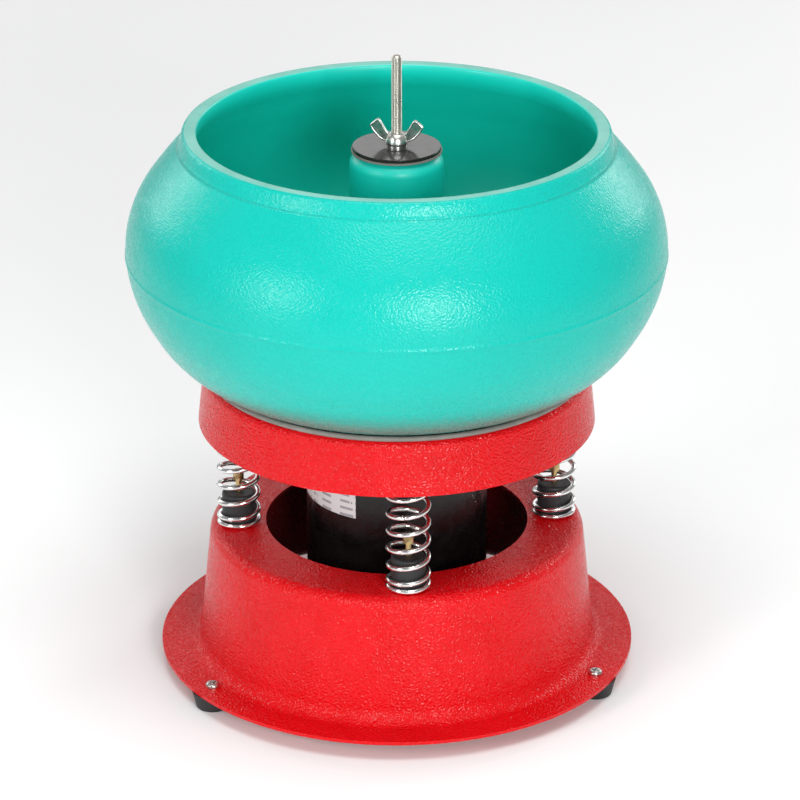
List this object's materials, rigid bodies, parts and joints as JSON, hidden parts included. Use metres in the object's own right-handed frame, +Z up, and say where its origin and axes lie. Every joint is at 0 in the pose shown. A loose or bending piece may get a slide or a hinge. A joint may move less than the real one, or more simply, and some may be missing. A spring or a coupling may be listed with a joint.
{
  "type": "vibratory rock tumbler",
  "caption": "Bench-top vibratory tumbler: a round-bellied bowl clamped by a wing nut on a sprung dish, with an unbalanced motor hanging inside a flanged conical base.",
  "frame": {"origin": "on the floor under the centre of the base", "axes": "+Z up along the stud and the motor shaft, -Y towards the front spring, +X to the right"},
  "size_m": [0.3074, 0.3074, 0.3692],
  "materials": {
    "red_paint": "textured powder coat",
    "green_plastic": "fine orange-peel moulded",
    "black_rubber": "matt",
    "grey_rubber": "matt",
    "spring_steel": "bright plated wire",
    "bright_steel": "zinc plated",
    "yellow_zinc": "yellow passivated zinc",
    "black_plate": "gloss black",
    "motor_black": "semi-gloss black",
    "label_film": "printed film",
    "lamination_steel": "stacked laminations",
    "winding_copper": "enamelled copper",
    "rotor_aluminium": "cast",
    "bearing_steel": "ground",
    "fan_plastic": "moulded",
    "weight_iron": "cast, oiled"
  },
  "bodies": {
    "base": {"base_shell": "red_paint", "cord_grommet": "black_rubber", "foot_rear": "black_rubber", "foot_front_left": "black_rubber", "foot_front_right": "black_rubber", "foot_screws": "bright_steel", "foot_washers": "bright_steel", "foot_nuts": "bright_steel", "lower_seat_front": "black_rubber", "lower_seat_back": "black_rubber", "lower_seat_left": "black_rubber", "lower_seat_right": "black_rubber", "lower_seat_screws": "yellow_zinc", "lower_seat_nuts": "bright_steel"},
    "front_back_springs": {"spring_front": "spring_steel", "spring_back": "spring_steel"},
    "side_springs": {"spring_left": "spring_steel", "spring_right": "spring_steel"},
    "dish": {"dish": "red_paint", "upper_seat_front": "black_rubber", "upper_seat_back": "black_rubber", "upper_seat_left": "black_rubber", "upper_seat_right": "black_rubber", "upper_seat_screws": "yellow_zinc", "upper_seat_nuts": "bright_steel", "bowl_gasket": "grey_rubber", "motor_can": "motor_black", "motor_top_bell": "motor_black", "motor_bottom_bell": "motor_black", "stator_core": "lamination_steel", "stator_windings": "winding_copper", "motor_label": "label_film", "motor_spacers": "bright_steel", "motor_through_bolts": "bright_steel", "motor_through_nuts": "bright_steel", "lower_bearing_outer": "bearing_steel", "upper_bearing_outer": "bearing_steel", "threaded_stud": "bright_steel", "stud_lock_nuts": "bright_steel"},
    "rotor": {"motor_shaft": "bright_steel", "rotor_core": "lamination_steel", "rotor_end_rings": "rotor_aluminium", "lower_bearing_inner": "bearing_steel", "upper_bearing_inner": "bearing_steel", "cooling_fan": "fan_plastic", "eccentric_weight": "weight_iron", "weight_set_screw": "bright_steel"},
    "bowl": {"bowl": "green_plastic"},
    "clamp_plate": {"clamp_plate": "black_plate", "column_seal": "grey_rubber"},
    "nut_washer": {"nut_washer": "bright_steel"},
    "wing_nut": {"wing_nut": "bright_steel"}
  },
  "joints": [
    {"name": "bounce", "type": "slide", "parent": "base", "child": "front_back_springs", "axis": [0, 0, 1], "range_m": [-0.004, 0.004], "stiffness_N_per_m": 17900, "springref_m": 0.00399, "deforming": ["spring_front", "spring_back"]},
    {"name": "rock_pitch", "type": "hinge", "parent": "front_back_springs", "child": "side_springs", "pos_m": [0, 0, 0.1222], "axis": [1, 0, 0], "range_deg": [-1, 1], "stiffness_Nm_per_rad": 75, "deforming": ["spring_left", "spring_right"]},
    {"name": "rock_roll", "type": "hinge", "parent": "side_springs", "child": "dish", "pos_m": [0, 0, 0.1222], "axis": [0, 1, 0], "range_deg": [-1, 1], "stiffness_Nm_per_rad": 75},
    {"name": "rotor_spin", "type": "hinge", "parent": "dish", "child": "rotor", "pos_m": [0, 0, 0.11], "axis": [0, 0, 1], "continuous": true},
    {"name": "bowl_lift", "type": "slide", "parent": "dish", "child": "bowl", "axis": [0, 0, 1], "range_m": [0, 0.215]},
    {"name": "plate_lift", "type": "slide", "parent": "bowl", "child": "clamp_plate", "axis": [0, 0, 1], "range_m": [0, 0.06]},
    {"name": "nut_lift", "type": "slide", "parent": "clamp_plate", "child": "nut_washer", "axis": [0, 0, 1], "range_m": [0, 0.05]},
    {"name": "nut_spin", "type": "hinge", "parent": "nut_washer", "child": "wing_nut", "pos_m": [0, 0, 0.32], "axis": [0, 0, 1], "range_deg": [0, 18000]}
  ],
  "couplings": [
    {"joint": "nut_spin", "follows": "nut_lift", "rad_per_m": 6283.2}
  ]
}
